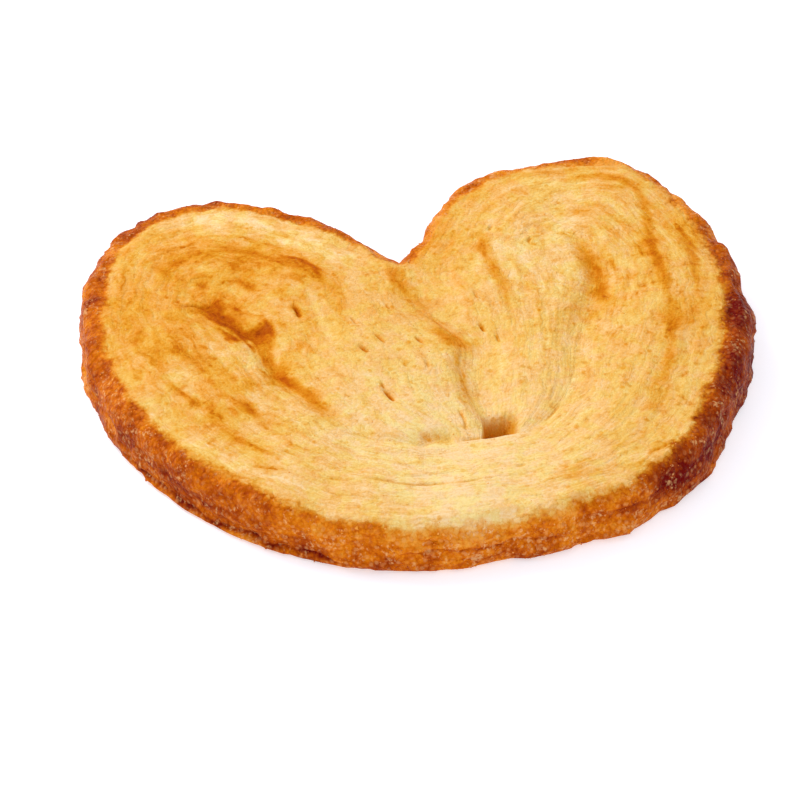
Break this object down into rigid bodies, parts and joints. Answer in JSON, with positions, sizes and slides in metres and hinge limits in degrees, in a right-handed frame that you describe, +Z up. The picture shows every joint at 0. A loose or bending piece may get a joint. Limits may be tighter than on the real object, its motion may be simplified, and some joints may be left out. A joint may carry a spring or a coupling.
{
  "type": "palmier pastry",
  "caption": "Heart-shaped slice of folded, sugared puff pastry, lying flat, with swirled layers, a browned rim and a small pit where the lobes meet.",
  "frame": {"origin": "under the middle of the slice's bounding box, on the surface it lies on", "axes": "+X across both lobes to the right, +Y from the front rim to the cleft between the lobes, +Z up through the thickness"},
  "size_m": [0.1015, 0.0866, 0.0098],
  "materials": {
    "pastry": "baked dough, dry and slightly rough, with sugar on the rim"
  },
  "bodies": {
    "root": {"pastry": "pastry"}
  },
  "joints": []
}
